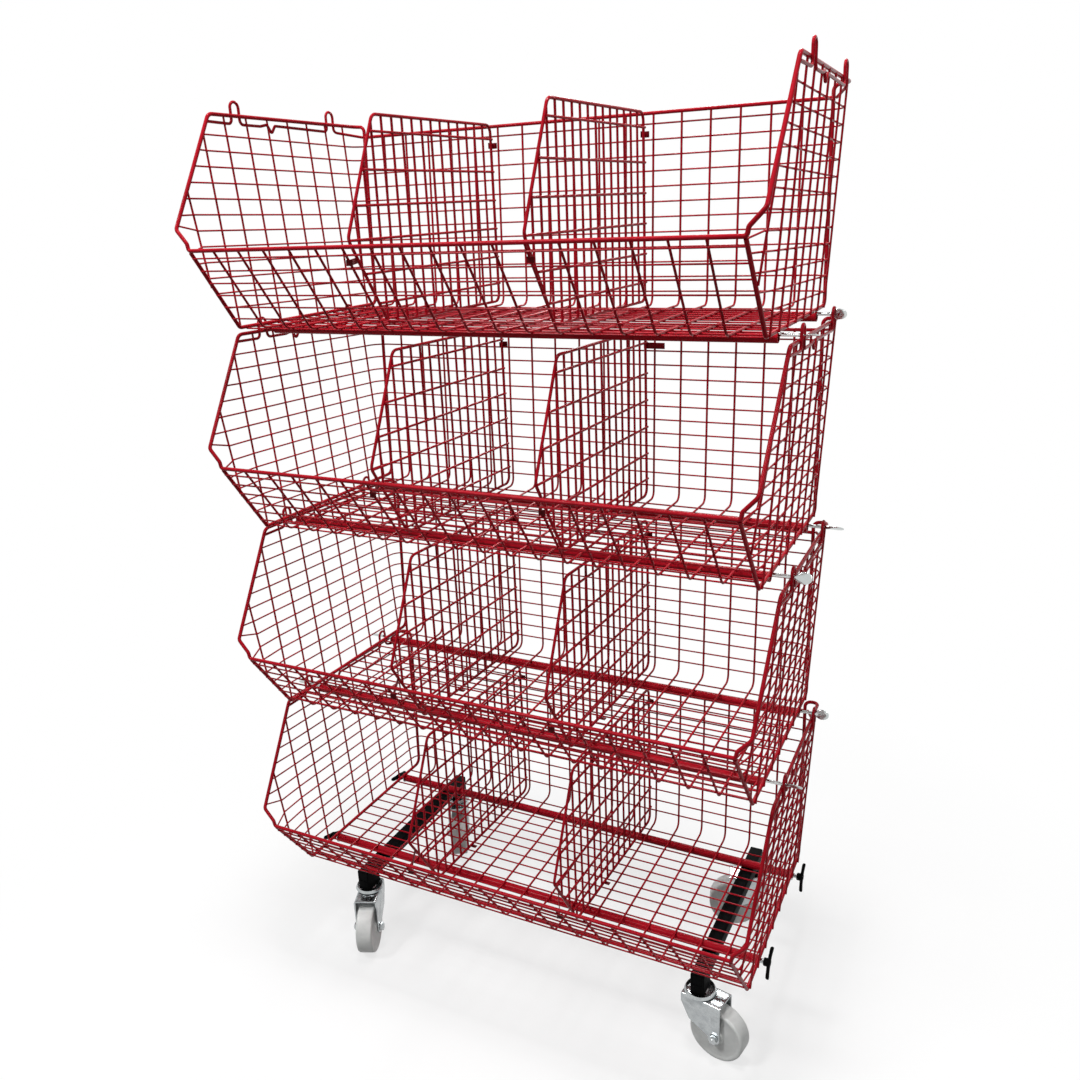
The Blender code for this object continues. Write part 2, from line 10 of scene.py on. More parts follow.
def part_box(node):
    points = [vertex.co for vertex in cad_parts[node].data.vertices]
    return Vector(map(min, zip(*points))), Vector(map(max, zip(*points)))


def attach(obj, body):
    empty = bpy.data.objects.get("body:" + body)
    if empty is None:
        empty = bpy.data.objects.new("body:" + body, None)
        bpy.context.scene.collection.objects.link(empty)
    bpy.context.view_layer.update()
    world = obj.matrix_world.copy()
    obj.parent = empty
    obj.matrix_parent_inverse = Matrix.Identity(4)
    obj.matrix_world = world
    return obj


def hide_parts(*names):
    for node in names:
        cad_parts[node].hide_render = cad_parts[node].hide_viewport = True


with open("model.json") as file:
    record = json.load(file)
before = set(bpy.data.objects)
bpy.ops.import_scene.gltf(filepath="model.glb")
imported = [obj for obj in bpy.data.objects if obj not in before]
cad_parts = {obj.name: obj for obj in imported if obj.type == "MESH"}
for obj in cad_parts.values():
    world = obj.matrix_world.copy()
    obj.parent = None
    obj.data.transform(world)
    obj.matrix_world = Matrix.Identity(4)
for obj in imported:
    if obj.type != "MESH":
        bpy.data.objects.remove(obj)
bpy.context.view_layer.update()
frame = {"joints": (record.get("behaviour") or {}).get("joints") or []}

# Castor bars: two lengths of square steel tube with a short leg of the same tube welded under each end,
# stoved in black enamel, with a plug pressed into each open end. They run from front to back under the
# cross tubes of the lowest basket and carry the castors.
BAR_LEG_LENGTH = 0.040
BAR_LEG_HEIGHT = 0.018
BAR_LEG_INSET = 0.0001
BAR_LEG_OVERLAP = 0.004
BAR_EDGE = 0.0024
BAR_WALL = 0.0022
PLUG_SINK = 0.0012
LEAST_END_AREA = 1.0e-4
SHARP_DEGREES = 38.0
SIDES = ("left", "right")
ROWS = ("front", "back")


def chart(red, green, blue):
    """Shader colour from the 0 to 255 values of a colour chart."""
    steps = [value / 255 for value in (red, green, blue)]
    return [s / 12.92 if s < 0.04045 else ((s + 0.055) / 1.055) ** 2.4 for s in steps] + [1.0]


def coated(name, shades, drift, grain, gloss, relief, metallic=0.0, specular=0.5):
    """Finish whose shade drifts slowly, with a fine grain that drives both its gloss and its relief."""
    material = bpy.data.materials.new(name)
    material.use_nodes = True
    nodes, links = material.node_tree.nodes, material.node_tree.links
    shader = nodes["Principled BSDF"]
    shader.inputs["Metallic"].default_value = metallic
    shader.inputs["Specular IOR Level"].default_value = specular
    where = nodes.new("ShaderNodeTexCoord")
    patches = nodes.new("ShaderNodeTexNoise")
    patches.inputs["Scale"].default_value = drift
    patches.inputs["Detail"].default_value = 4.0
    links.new(where.outputs["Object"], patches.inputs["Vector"])
    ramp = nodes.new("ShaderNodeValToRGB")
    ramp.color_ramp.elements[0].position = 0.32
    ramp.color_ramp.elements[0].color = shades[0]
    ramp.color_ramp.elements[1].position = 0.68
    ramp.color_ramp.elements[1].color = shades[-1]
    if len(shades) > 2:
        ramp.color_ramp.elements.new(0.5).color = shades[1]
    links.new(patches.outputs["Fac"], ramp.inputs["Fac"])
    links.new(ramp.outputs["Color"], shader.inputs["Base Color"])
    fine = nodes.new("ShaderNodeTexNoise")
    fine.inputs["Scale"].default_value = grain
    fine.inputs["Detail"].default_value = 2.0
    links.new(where.outputs["Object"], fine.inputs["Vector"])
    shine = nodes.new("ShaderNodeMapRange")
    shine.inputs["From Min"].default_value = 0.3
    shine.inputs["From Max"].default_value = 0.7
    shine.inputs["To Min"].default_value = gloss[0]
    shine.inputs["To Max"].default_value = gloss[1]
    links.new(fine.outputs["Fac"], shine.inputs["Value"])
    links.new(shine.outputs["Result"], shader.inputs["Roughness"])
    bump = nodes.new("ShaderNodeBump")
    bump.inputs["Strength"].default_value = relief[0]
    bump.inputs["Distance"].default_value = relief[1]
    links.new(fine.outputs["Fac"], bump.inputs["Height"])
    links.new(bump.outputs["Normal"], shader.inputs["Normal"])
    return material


def rounded_block(bm, low, high, edge):
    """Box between two corners with softened edges."""
    verts = bmesh.ops.create_cube(bm, size=1.0)["verts"]
    bmesh.ops.scale(bm, vec=high - low, verts=verts)
    bmesh.ops.translate(bm, vec=(low + high) / 2, verts=verts)
    edges = list(dict.fromkeys(line for vert in verts for line in vert.link_edges))
    bmesh.ops.bevel(bm, geom=edges, offset=edge, segments=3, profile=0.5, affect="EDGES")


def to_mesh(name, bm):
    """Plain mesh with its faces turned outwards."""
    bmesh.ops.recalc_face_normals(bm, faces=bm.faces[:])
    mesh = bpy.data.meshes.new(name)
    bm.to_mesh(mesh)
    bm.free()
    return mesh


def add_piece(name, mesh, material, body, slot, *nodes):
    """Finished piece on the body that carries it, in place of the plain solids that it covers."""
    mesh.materials.clear()
    mesh.materials.append(material)
    mesh.shade_smooth()
    mesh.set_sharp_from_angle(angle=math.radians(SHARP_DEGREES))
    piece = bpy.data.objects.new(name, mesh)
    bpy.context.scene.collection.objects.link(piece)
    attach(piece, body)
    if nodes:
        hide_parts(*nodes)


black_enamel = coated("black_stove_enamel", [chart(4, 4, 5), chart(10, 10, 11)], 30.0, 900.0,
                      (0.52, 0.64), (0.10, 0.0002), specular=0.03)

for side in SIDES:
    low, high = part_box(f"castor_bar_{side}")
    under = low.z + BAR_LEG_HEIGHT
    bm = bmesh.new()
    rounded_block(bm, Vector((low.x, low.y, under)), high, BAR_EDGE)
    ends = [face for face in bm.faces if abs(face.normal.y) > 0.999 and face.calc_area() > LEAST_END_AREA]
    bmesh.ops.inset_individual(bm, faces=ends, thickness=BAR_WALL - BAR_EDGE / 2, depth=-PLUG_SINK)
    for start in (low.y, high.y - BAR_LEG_LENGTH):
        foot = Vector((low.x + BAR_LEG_INSET, start, low.z))
        head = Vector((high.x - BAR_LEG_INSET, start + BAR_LEG_LENGTH, under + BAR_LEG_OVERLAP))
        rounded_block(bm, foot, head, BAR_EDGE)
    add_piece(f"castor_bar_{side}_tube", to_mesh("bar", bm), black_enamel, "frame", "black_enamel",
              f"castor_bar_{side}")

# Castor dishes: a bright zinc plated cup, open upwards, pressed from 2 mm sheet, with the king pin riveted
# through its floor. It holds the foot of the bar's leg and stays still while the fork turns below it.
DISH_PROFILE = [
    (0.0, 0.1107), (0.0085, 0.1107), (0.0100, 0.1118), (0.0100, 0.1142), (0.0060, 0.1145),
    (0.0060, 0.1185), (0.0250, 0.1185), (0.0254, 0.1194), (0.0280, 0.1195), (0.0284, 0.1199),
    (0.0283, 0.1204), (0.0262, 0.1243), (0.0257, 0.1249), (0.0249, 0.1250), (0.0243, 0.1246),
    (0.0239, 0.1237), (0.0237, 0.1210), (0.0230, 0.1204), (0.0135, 0.1204), (0.0125, 0.1207),
    (0.0120, 0.1212), (0.0120, 0.1217), (0.0116, 0.1220), (0.0, 0.1220),
]
DISH_STEPS = 40
joints = {joint["name"]: joint for joint in frame["joints"]}


def turned(bm, profile, steps, place, closed=False):
    """Skin of revolution round the place's own Z from (radius, height) pairs; radius 0 closes a pole."""
    rings = []
    for radius, height in profile:
        angles = [2 * math.pi * step / steps for step in range(steps)] if radius else [0.0]
        rings.append([bm.verts.new(place @ Vector((radius * math.cos(a), radius * math.sin(a), height)))
                      for a in angles])
    pairs = list(zip(rings, rings[1:]))
    if closed:
        pairs.append((rings[-1], rings[0]))
    for below, above in pairs:
        for step in range(steps):
            after = (step + 1) % steps
            corners = [below[step % len(below)], below[after % len(below)],
                       above[after % len(above)], above[step % len(above)]]
            bm.faces.new(list(dict.fromkeys(corners)))


def castor_place(row, side):
    """Frame of a castor at rest: X trails from the king pin to the axle, Y lies along the axle."""
    pin = Vector(joints[f"swivel_{row}_{side}"]["pos_m"])
    axle = Vector(joints[f"roll_{row}_{side}"]["pos_m"])
    trail = Vector((axle.x - pin.x, axle.y - pin.y, 0.0)).normalized()
    place = Matrix((trail, Vector((-trail.y, trail.x, 0.0)), Vector((0.0, 0.0, 1.0)))).transposed().to_4x4()
    place.translation = (pin.x, pin.y, 0.0)
    return place


zinc_plate = coated("bright_zinc_plate", [chart(150, 154, 156), chart(182, 186, 187), chart(166, 170, 172)],
                    40.0, 300.0, (0.18, 0.28), (0.03, 0.0002), metallic=1.0)

for side in SIDES:
    for row in ROWS:
        bm = bmesh.new()
        turned(bm, DISH_PROFILE, DISH_STEPS, castor_place(row, side))
        add_piece(f"castor_{row}_{side}_dish", to_mesh("dish", bm), zinc_plate, "frame", "zinc_plate",
                  f"castor_{row}_{side}_head")

# Castor forks: a U bent from 3 mm steel sheet, zinc plated, flat on top and with two legs that trail to
# the axle. A rib pressed down each leg stiffens it.
FORK_SHEET = 0.003
FORK_MIDDLE = 0.0215
FORK_PLATE = 0.1165
FORK_BEND = 0.0035
FORK_BEND_STEPS = 4
FORK_EDGE = 0.0006
FORK_LEG = [0.0391, 0.0402, 0.0420, 0.0445, 0.0470, 0.0500, 0.0540, 0.0580, 0.0620, 0.0655, 0.0690,
            0.0740, 0.0790, 0.0845, 0.0900, 0.0955, 0.1010, 0.1050, 0.1090]
FORK_FRONT = [Vector(p) for p in ((0.027, 0.050), (-0.010, 0.069), (-0.026, 0.101), (-0.026, 0.118))]
TRAIL = 0.038
AXLE_HEIGHT = 0.050
EYE_RADIUS = 0.011
EYE_TIP_HALF = 0.002
RIB_HEIGHT = 0.0013
RIB_HALF = 0.0065
RIB_START = Vector((0.002, 0.106))
RIB_END = Vector((TRAIL - 0.001, 0.068))
FORK_COLUMNS = 22


def leg_edges(height):
    """Front and rear edge of a fork leg at a height."""
    if height < AXLE_HEIGHT:
        square = EYE_RADIUS ** 2 - (AXLE_HEIGHT - height) ** 2
        half = max(math.sqrt(max(square, 0.0)), EYE_TIP_HALF)
        return TRAIL - half, TRAIL + half
    below, above = next((a, b) for a, b in zip(FORK_FRONT, FORK_FRONT[1:]) if height <= b.y)
    return below.lerp(above, (height - below.y) / (above.y - below.y)).x, TRAIL + EYE_RADIUS


def rib_lift(along, height):
    """How far the pressed rib stands out of a leg at a point."""
    spot, run = Vector((along, height)), RIB_END - RIB_START
    share = min(max((spot - RIB_START).dot(run) / run.length_squared, 0.0), 1.0)
    near = (spot - RIB_START.lerp(RIB_END, share)).length / RIB_HALF
    return RIB_HEIGHT * (1.0 - min(near, 1.0) ** 2) ** 2


def fork_section():
    """Stations round the U of a fork, from one eye over the plate to the other: (across, height)."""
    angles = [math.radians(90.0 * step / FORK_BEND_STEPS) for step in range(FORK_BEND_STEPS + 1)]
    inner, under = FORK_MIDDLE - FORK_BEND, FORK_PLATE - FORK_BEND
    up = [(FORK_MIDDLE, height) for height in FORK_LEG]
    over = [(inner + FORK_BEND * math.cos(a), under + FORK_BEND * math.sin(a)) for a in angles]
    half = up + over + [(inner * share, FORK_PLATE) for share in (0.66, 0.33)]
    return half + [(0.0, FORK_PLATE)] + [(-across, height) for across, height in reversed(half)]


def holding(mesh):
    """Object that holds a mesh while modifiers work on it."""
    holder = bpy.data.objects.new("holder", mesh)
    bpy.context.scene.collection.objects.link(holder)
    return holder


def baked(holder):
    """Plain mesh of what a holder's modifiers make; the holder and its own mesh are then removed."""
    mesh = holder.data
    graph = bpy.context.evaluated_depsgraph_get()
    done = bpy.data.meshes.new_from_object(holder.evaluated_get(graph), depsgraph=graph)
    bpy.data.objects.remove(holder)
    bpy.data.meshes.remove(mesh)
    return done


def settle(mesh, *modifiers):
    """Mesh with a stack of modifiers applied; each is a type and its settings."""
    holder = holding(mesh)
    for kind, settings in modifiers:
        modifier = holder.modifiers.new(kind, kind)
        for key, value in settings.items():
            setattr(modifier, key, value)
    return baked(holder)


def fork_mesh():
    """Fork in its own frame: a skin along the U, thickened to the sheet."""
    bm = bmesh.new()
    rows = []
    for across, height in fork_section():
        front, rear = leg_edges(height)
        row = []
        for column in range(FORK_COLUMNS + 1):
            along = front + (rear - front) * column / FORK_COLUMNS
            lift = rib_lift(along, height) if height < FORK_PLATE - FORK_BEND else 0.0
            row.append(bm.verts.new((along, across + math.copysign(lift, across), height)))
        rows.append(row)
    for below, above in zip(rows, rows[1:]):
        for column in range(FORK_COLUMNS):
            bm.faces.new((below[column], below[column + 1], above[column + 1], above[column]))
    return settle(to_mesh("fork", bm),
                  ("SOLIDIFY", {"thickness": FORK_SHEET, "offset": 0.0, "use_even_offset": True}),
                  ("BEVEL", {"width": FORK_EDGE, "segments": 2, "limit_method": "ANGLE"}))


fork_shape = fork_mesh()
for side in SIDES:
    for row in ROWS:
        mesh = fork_shape.copy()
        mesh.transform(castor_place(row, side))
        add_piece(f"castor_{row}_{side}_pressed_fork", mesh, zinc_plate, f"castor_{row}_{side}",
                  "zinc_plate", f"castor_{row}_{side}_fork")

# Castor axles: a zinc plated hexagon bolt through the fork legs and the wheel's bore, with a washer under
# its head and a washer and a nut on its other end.
AXLE_SEAT = 0.0233
AXLE_TIP = 0.0305
WASHER_SEAT = 0.0245
SHANK_RADIUS = 0.0048
HEXAGON_RADIUS = 0.0080
HEXAGON_SIDES = 6
AXLE_STEPS = 24
BOLT_HEAD = [(0.0, AXLE_TIP), (0.0062, AXLE_TIP), (HEXAGON_RADIUS, AXLE_TIP - 0.0011),
             (HEXAGON_RADIUS, WASHER_SEAT), (0.0, WASHER_SEAT)]
WASHER = [(0.0, AXLE_SEAT), (0.0082, AXLE_SEAT), (0.0085, AXLE_SEAT + 0.0003),
          (0.0085, WASHER_SEAT - 0.0003), (0.0082, WASHER_SEAT), (0.0, WASHER_SEAT)]
SHANK = [(0.0, -AXLE_TIP), (0.0040, -AXLE_TIP), (SHANK_RADIUS, 0.001 - AXLE_TIP), (SHANK_RADIUS, AXLE_SEAT)]
NUT = [(SHANK_RADIUS, 0.0009 - AXLE_TIP), (0.0064, 0.0009 - AXLE_TIP), (HEXAGON_RADIUS, 0.0018 - AXLE_TIP),
       (HEXAGON_RADIUS, -WASHER_SEAT), (SHANK_RADIUS, -WASHER_SEAT)]
across_castor = Matrix.Translation((TRAIL, 0.0, AXLE_HEIGHT)) @ Matrix.Rotation(math.radians(-90.0), 4, "X")

for side in SIDES:
    for row in ROWS:
        bm = bmesh.new()
        axle = castor_place(row, side) @ across_castor
        turned(bm, SHANK, AXLE_STEPS, axle)
        turned(bm, BOLT_HEAD, HEXAGON_SIDES, axle)
        turned(bm, NUT, HEXAGON_SIDES, axle, closed=True)
        turned(bm, WASHER, AXLE_STEPS, axle)
        turned(bm, WASHER, AXLE_STEPS, axle @ Matrix.Rotation(math.pi, 4, "X"))
        add_piece(f"castor_{row}_{side}_axle_bolt", to_mesh("axle", bm), zinc_plate,
                  f"castor_{row}_{side}", "zinc_plate", f"castor_{row}_{side}_axle")

# Castor wheels: solid white nylon, 100 mm across, with a plain face, a raised hub and a rounded tread.
# Each runs on its axle bolt between the fork's legs.
WHEEL_HALF = [(0.0056, 0.0188), (0.0130, 0.0188), (0.0138, 0.0182), (0.0142, 0.0160), (0.0160, 0.0150),
              (0.0400, 0.0150), (0.0425, 0.0154), (0.0440, 0.0159), (0.0462, 0.0160), (0.0480, 0.0157),
              (0.0492, 0.0148), (0.0498, 0.0132), (0.0500, 0.0100)]
WHEEL_PROFILE = WHEEL_HALF + [(radius, -width) for radius, width in reversed(WHEEL_HALF)]
WHEEL_STEPS = 56
white_nylon = coated("white_nylon", [chart(222, 225, 223), chart(234, 236, 234), chart(228, 231, 229)],
                     45.0, 700.0, (0.36, 0.50), (0.10, 0.0003))

for side in SIDES:
    for row in ROWS:
        bm = bmesh.new()
        turned(bm, WHEEL_PROFILE, WHEEL_STEPS, castor_place(row, side) @ across_castor, closed=True)
        add_piece(f"castor_{row}_{side}_nylon_wheel", to_mesh("wheel", bm), white_nylon,
                  f"wheel_{row}_{side}", "white_nylon", f"castor_{row}_{side}_wheel")

# Cross tubes: two steel tubes welded across under each basket's floor, open at both ends, in the red
# powder coat of the baskets. The locking rods of the basket below pass through their bores, and the
# upper baskets hang on these rods.
FLOOR_WIRE_TOP = 0.002
TUBE_ROWS = (0.085, 0.335)
TUBE_DROP = -0.0095
TUBE_HANG = 0.0026
TUBE_HALF = 0.4495
TUBE_PROFILE = [(0.0062, -TUBE_HALF), (0.0076, -TUBE_HALF), (0.0080, 0.0004 - TUBE_HALF),
                (0.0080, TUBE_HALF - 0.0004), (0.0076, TUBE_HALF), (0.0062, TUBE_HALF)]
TUBE_STEPS = 24
TIERS = (1, 2, 3, 4)
rod_low, rod_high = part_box("locking_rod1_front")
front_edge = (rod_low.y + rod_high.y) / 2 - TUBE_ROWS[0]
lengthwise = Matrix.Rotation(math.radians(90.0), 4, "Y")
red_coat = coated("red_powder_coat", [chart(150, 13, 26), chart(174, 20, 36), chart(162, 16, 31)],
                  9.0, 520.0, (0.18, 0.28), (0.12, 0.0003), specular=0.05)


def basket_place(tier):
    """Frame of a basket: y runs back from the front edge of its floor, z up from its floor wires."""
    return Matrix.Translation((0.0, front_edge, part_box(f"basket{tier}_floor")[1].z - FLOOR_WIRE_TOP))


def add_to_baskets(name, mesh, *nodes):
    """The same piece on every basket; each node is a name with the tier's number left open."""
    for tier in TIERS:
        copy = mesh.copy()
        copy.transform(basket_place(tier))
        add_piece(f"basket{tier}_{name}", copy, red_coat, "frame", "red_powder_coat",
                  *[f"basket{tier}_{node}" for node in nodes])
    bpy.data.meshes.remove(mesh)


for tier in TIERS:
    drop = TUBE_DROP if tier == TIERS[0] else TUBE_DROP - TUBE_HANG
    bm = bmesh.new()
    for depth in TUBE_ROWS:
        centre = basket_place(tier) @ Matrix.Translation((0.0, depth, drop))
        turned(bm, TUBE_PROFILE, TUBE_STEPS, centre @ lengthwise, closed=True)
    add_piece(f"basket{tier}_cross_tubes", to_mesh("tubes", bm), red_coat, "frame", "red_powder_coat")

# Basket rims: one 6.5 mm steel rod bent round each basket. It rises from the floor's back corners, turns
# along the top rail of each side, drops down the slanted front and runs across as the lip.
# The back rail is a 6 mm rod welded in between the two back corners.
RIM_GAUGE = 0.00325
EDGE_HEAD, EDGE_FOOT = Vector((0.449, -0.0905, 0.128)), Vector((0.453, 0.0, 0.0))
SIDE_BACK_FOOT, SIDE_BACK_HEAD = Vector((0.449, 0.392, 0.0)), Vector((0.470, 0.405, 0.335))
SLOPE_HEAD, SLOPE_FOOT = Vector((0.480, 0.023, 0.341)), Vector((0.473, -0.0905, 0.1640))
RIM_HALF = [
    (EDGE_HEAD, 0.0), (EDGE_FOOT, 0.008), (SIDE_BACK_FOOT, 0.014), ((0.446, 0.402, 0.333), 0.010),
    (SIDE_BACK_HEAD, 0.013), (SLOPE_HEAD, 0.015), (SLOPE_FOOT, 0.010),
    ((0.4525, -0.0925, 0.1425), 0.007), ((0.4505, -0.0925, 0.1313), 0.005),
]
BACK_RAIL_GAUGE = 0.003
BACK_RAIL = [(-0.446, 0.4012, 0.3145), (0.446, 0.4012, 0.3145)]


def wire_tree():
    """Node tree that bends round wires along the edges of a mesh and repeats them at a pitch."""
    tree = bpy.data.node_groups.new("bent_wires", "GeometryNodeTree")
    sockets = (("Paths", "Geometry"), ("Sides", "Int"), ("Bend Steps", "Int"), ("Count", "Int"),
               ("Pitch", "Vector"), ("Material", "Material"))
    for name, kind in sockets:
        tree.interface.new_socket(name, in_out="INPUT", socket_type=f"NodeSocket{kind}")
    tree.interface.new_socket("Wires", in_out="OUTPUT", socket_type="NodeSocketGeometry")
    nodes, links = tree.nodes, tree.links
    given = nodes.new("NodeGroupInput")
    result = nodes.new("NodeGroupOutput")
    curve = nodes.new("GeometryNodeMeshToCurve")
    fillet = nodes.new("GeometryNodeFilletCurve")
    fillet.mode = "POLY"
    fillet.inputs["Limit Radius"].default_value = True
    bend = nodes.new("GeometryNodeInputNamedAttribute")
    bend.inputs["Name"].default_value = "bend"
    gauge = nodes.new("GeometryNodeInputNamedAttribute")
    gauge.inputs["Name"].default_value = "gauge"
    section = nodes.new("GeometryNodeCurvePrimitiveCircle")
    section.inputs["Radius"].default_value = 1.0
    sweep = nodes.new("GeometryNodeCurveToMesh")
    sweep.inputs["Fill Caps"].default_value = True
    line = nodes.new("GeometryNodeMeshLine")
    repeat = nodes.new("GeometryNodeInstanceOnPoints")
    realize = nodes.new("GeometryNodeRealizeInstances")
    paint = nodes.new("GeometryNodeSetMaterial")
    links.new(given.outputs["Paths"], curve.inputs["Mesh"])
    links.new(curve.outputs["Curve"], fillet.inputs["Curve"])
    links.new(given.outputs["Bend Steps"], fillet.inputs["Count"])
    links.new(bend.outputs["Attribute"], fillet.inputs["Radius"])
    links.new(fillet.outputs["Curve"], sweep.inputs["Curve"])
    links.new(given.outputs["Sides"], section.inputs["Resolution"])
    links.new(section.outputs["Curve"], sweep.inputs["Profile Curve"])
    links.new(gauge.outputs["Attribute"], sweep.inputs["Scale"])
    links.new(given.outputs["Count"], line.inputs["Count"])
    links.new(given.outputs["Pitch"], line.inputs["Offset"])
    links.new(line.outputs["Mesh"], repeat.inputs["Points"])
    links.new(sweep.outputs["Mesh"], repeat.inputs["Instance"])
    links.new(repeat.outputs["Instances"], realize.inputs["Geometry"])
    links.new(realize.outputs["Geometry"], paint.inputs["Geometry"])
    links.new(given.outputs["Material"], paint.inputs["Material"])
    links.new(paint.outputs["Geometry"], result.inputs["Wires"])
    return tree


def grown(tree, mesh, **values):
    """Plain mesh that a node tree makes from a mesh, with the tree's named inputs set."""
    holder = holding(mesh)
    modifier = holder.modifiers.new("tree", "NODES")
    modifier.node_group = tree
    for item in tree.interface.items_tree:
        if item.in_out == "INPUT" and item.name in values:
            modifier[item.identifier] = values[item.name]
    return baked(holder)


def wire_paths(paths):
    """Edge mesh of wire centre lines; each path has points with their bends, and a gauge."""
    verts, edges, bends, gauges = [], [], [], []
    for points, gauge in paths:
        first = len(verts)
        for point, bend in points:
            verts.append(point)
            bends.append(bend)
            gauges.append(gauge)
        edges += [(index, index + 1) for index in range(first, len(verts) - 1)]
    mesh = bpy.data.meshes.new("paths")
    mesh.from_pydata(verts, edges, [])
    for name, values in (("bend", bends), ("gauge", gauges)):
        mesh.attributes.new(name, "FLOAT", "POINT").data.foreach_set("value", values)
    return mesh


bent_wires = wire_tree()


def wires(paths, sides=8, steps=4, count=1, pitch=(0.0, 0.0, 0.0)):
    """Round wires bent along paths, and repeated at a pitch."""
    values = {"Sides": sides, "Bend Steps": steps, "Count": count, "Pitch": pitch, "Material": red_coat}
    return grown(bent_wires, wire_paths(paths), **values)


def mirrored(point):
    """Point at the same place on the other side."""
    return (-point[0], point[1], point[2])


def straight(*points):
    """Path through points without bends."""
    return [(point, 0.0) for point in points]


rim = RIM_HALF + [(mirrored(point), bend) for point, bend in reversed(RIM_HALF)]
add_to_baskets("rim", wires([(rim, RIM_GAUGE), (straight(*BACK_RAIL), BACK_RAIL_GAUGE)], sides=12, steps=8),
               "left_side", "right_side")

# Long wires: seventeen 4 mm wires at 50 mm, each bent in one run from the lip down to the floor, back along
# the floor and up the back to the back rail, where they are resistance welded to the rods.
LONG_PITCH = 0.050
LONG_COUNT = 17
LONG_FIRST = -0.40
LONG_GAUGE = 0.002
LONG_FRONT_BEND = 0.020
LONG_BACK_BEND = 0.014
LONG_TOP = 0.315
LIP_TOP = Vector((-0.0925, 0.131))
FLOOR_BACK = 0.388
RAIL_HEIGHT = 0.341
BACK_LEAN = 0.014


def back_y(height):
    """Depth of the back wires at a height."""
    return FLOOR_BACK + BACK_LEAN * height / RAIL_HEIGHT


long_path = [((LONG_FIRST, LIP_TOP.x, LIP_TOP.y), 0.0), ((LONG_FIRST, 0.0, 0.0), LONG_FRONT_BEND),
             ((LONG_FIRST, FLOOR_BACK, 0.0), LONG_BACK_BEND), ((LONG_FIRST, back_y(LONG_TOP), LONG_TOP), 0.0)]
add_to_baskets("long_wires", wires([(long_path, LONG_GAUGE)], count=LONG_COUNT, pitch=(LONG_PITCH, 0.0, 0.0)),
               "floor")

# Cross wires: thin wires that lie under the long wires, at 26 mm on the floor and 25 mm on the lip, welded
# at every crossing, and end on the rim's rods. None lies where the back tube runs.
CROSS_GAUGE = 0.00145
WELD_SINK = 0.0003
CROSS_DROP = LONG_GAUGE + CROSS_GAUGE - WELD_SINK
FLOOR_CROSS_FIRST = 0.0165
FLOOR_CROSS_PITCH = 0.0263
BACK_TUBE_STEP = 12
FLOOR_CROSS = [FLOOR_CROSS_FIRST + FLOOR_CROSS_PITCH * step for step in range(14) if step != BACK_TUBE_STEP]
LIP_CROSS_FIRST = 0.023
LIP_CROSS_PITCH = 0.025
LIP_CROSS = [LIP_CROSS_FIRST + LIP_CROSS_PITCH * step for step in range(6)]
AXIS_X, AXIS_Y, AXIS_Z = range(3)
lip_run = LIP_TOP.normalized()
lip_under = Vector((-lip_run.y, lip_run.x))


def on_rod(start, end, axis, value):
    """Point of a rod between two ends where one of its coordinates has a value."""
    return start.lerp(end, (value - start[axis]) / (end[axis] - start[axis]))


cross_paths = []
for depth in FLOOR_CROSS:
    half = on_rod(EDGE_FOOT, SIDE_BACK_FOOT, AXIS_Y, depth).x
    ends = [(-half, depth, -CROSS_DROP), (half, depth, -CROSS_DROP)]
    cross_paths.append((straight(*ends), CROSS_GAUGE))
for slant in LIP_CROSS:
    depth, height = slant * lip_run + CROSS_DROP * lip_under
    half = on_rod(EDGE_FOOT, EDGE_HEAD, AXIS_Z, height).x
    cross_paths.append((straight((-half, depth, height), (half, depth, height)), CROSS_GAUGE))
add_to_baskets("cross_wires", wires(cross_paths, sides=6), "lip")

# Wrap wires: thin wires at 25 mm, each bent in a U round one side, the back and the other side, welded to
# the uprights and ending on the slanted front rods. Stout uprights at 52 mm stand outside them on each side,
# from just under the floor's edge rod to the top rail.
WRAP_TOP = 0.304
WRAP_PITCH = 0.025
WRAP_LEVELS = [WRAP_TOP - WRAP_PITCH * step for step in range(12)]
WRAP_TILT = 0.029
WRAP_LEVEL_DEPTH = 0.175
WRAP_CORNER = 0.028
UPRIGHT_PITCH = 0.0517
UPRIGHT_OVER_LIP = -0.0505
UPRIGHT_FIRST = 0.0062
UPRIGHT_DEPTHS = [UPRIGHT_OVER_LIP] + [UPRIGHT_FIRST + UPRIGHT_PITCH * step for step in range(8)]
UPRIGHT_GAUGE = 0.00175
UPRIGHT_FOOT_OUT = 0.0038
UPRIGHT_HEAD_OUT = 0.0018
UPRIGHT_PAST = 0.0014
WRAP_IN = 0.0030
KNEE_HEIGHT = 0.140
SLOPE_LOWEST = 0.170
CROSSING_MARGIN = 0.004


def front_end(height):
    """Where a wire at a height meets the front rods of a side."""
    if height < KNEE_HEIGHT:
        return on_rod(EDGE_FOOT, EDGE_HEAD, AXIS_Z, min(height, EDGE_HEAD.z))
    return on_rod(SLOPE_FOOT, SLOPE_HEAD, AXIS_Z, max(height, SLOPE_LOWEST))


def upright_ends(depth):
    """Foot and head of a side's upright at a depth, on the outer face of the rods."""
    foot = on_rod(EDGE_FOOT, EDGE_HEAD if depth < 0.0 else SIDE_BACK_FOOT, AXIS_Y, depth)
    head = on_rod(SLOPE_HEAD, SLOPE_FOOT if depth < SLOPE_HEAD.y else SIDE_BACK_HEAD, AXIS_Y, depth)
    return foot + Vector((UPRIGHT_FOOT_OUT, 0.0, 0.0)), head + Vector((UPRIGHT_HEAD_OUT, 0.0, 0.0))


def side_x(depth, height):
    """Half width between the sides, measured on an upright."""
    foot, head = upright_ends(depth)
    return on_rod(foot, head, AXIS_Z, height).x


